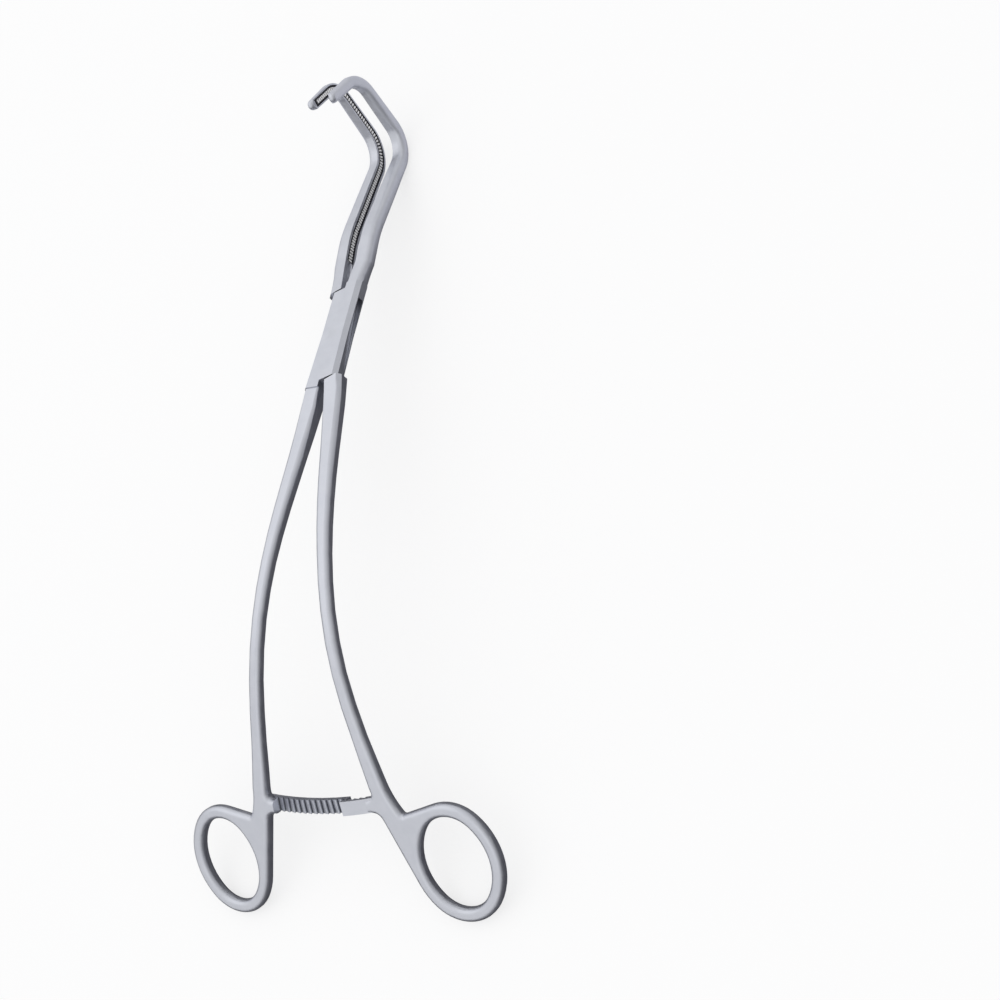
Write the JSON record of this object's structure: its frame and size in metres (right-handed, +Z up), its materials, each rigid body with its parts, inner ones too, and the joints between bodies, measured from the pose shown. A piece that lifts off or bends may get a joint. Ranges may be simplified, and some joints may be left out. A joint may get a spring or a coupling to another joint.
{
  "type": "vascular clamp",
  "caption": "Ring-handled vascular clamp with hooked atraumatic jaws, a box lock and a ratchet between its bowed shanks.",
  "frame": {"origin": "bottom centre of the overall box, as the clamp lies on a table on the ends of its rings and the bends of its jaws", "axes": "+Y along the instrument towards the jaws, +Z up from the table, +X to the right of someone who holds the rings and looks towards the jaws"},
  "size_m": [0.1034, 0.2398, 0.0358],
  "materials": {
    "satin_steel": "satin, bead blasted",
    "pin_steel": "satin, ground flush"
  },
  "bodies": {
    "slotted_body": {"slotted_half": "satin_steel", "pivot_pin": "pin_steel"},
    "tongue_body": {"tongue_half": "satin_steel"}
  },
  "joints": [
    {"name": "box_lock", "type": "hinge", "parent": "slotted_body", "child": "tongue_body", "pos_m": [0, 0.03862, 0.02154], "axis": [0, 0.2312, 0.9729], "range_deg": [-4.3, 34]}
  ]
}
